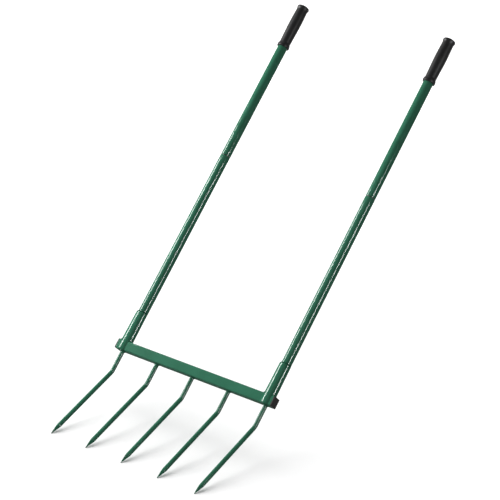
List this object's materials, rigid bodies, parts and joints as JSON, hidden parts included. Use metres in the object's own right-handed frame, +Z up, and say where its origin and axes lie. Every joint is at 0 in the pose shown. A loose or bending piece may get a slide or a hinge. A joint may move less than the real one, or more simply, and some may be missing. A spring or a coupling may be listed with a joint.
{
  "type": "lawn aerator fork",
  "caption": "Broadfork for aerating turf: bent steel tines under a square crossbar, worked by two long straight handles with rubber grips.",
  "frame": {"origin": "on the ground, under the tip of the middle tine; the fork stands on its five tine tips with its handles leaning back 45 degrees", "axes": "+X along the crossbar to the fork's right as seen from its front, +Y to the back, the way the handles lean, +Z up"},
  "size_m": [0.546, 1.0879, 0.9372],
  "materials": {
    "green_paint": "glossy dark green powder coat over steel",
    "black_rubber": "smooth moulded rubber, satin",
    "black_plastic": "moulded polyethylene, matte",
    "black_oxide": "oiled black oxide steel",
    "zinc_steel": "zinc plated steel"
  },
  "bodies": {
    "root": {"crossbar": "green_paint", "end_plug_left": "black_plastic", "end_plug_right": "black_plastic", "tine_1": "green_paint", "tine_2": "green_paint", "tine_3": "green_paint", "tine_4": "green_paint", "tine_5": "green_paint", "tine_welds": "green_paint", "saddle_left": "green_paint", "saddle_right": "green_paint", "handle_welds": "green_paint", "pole_lower_left": "green_paint", "pole_lower_right": "green_paint", "coupler_left": "black_oxide", "coupler_right": "black_oxide", "joint_screws": "zinc_steel", "pole_upper_left": "green_paint", "pole_upper_right": "green_paint", "grip_left": "black_rubber", "grip_right": "black_rubber"}
  },
  "joints": []
}
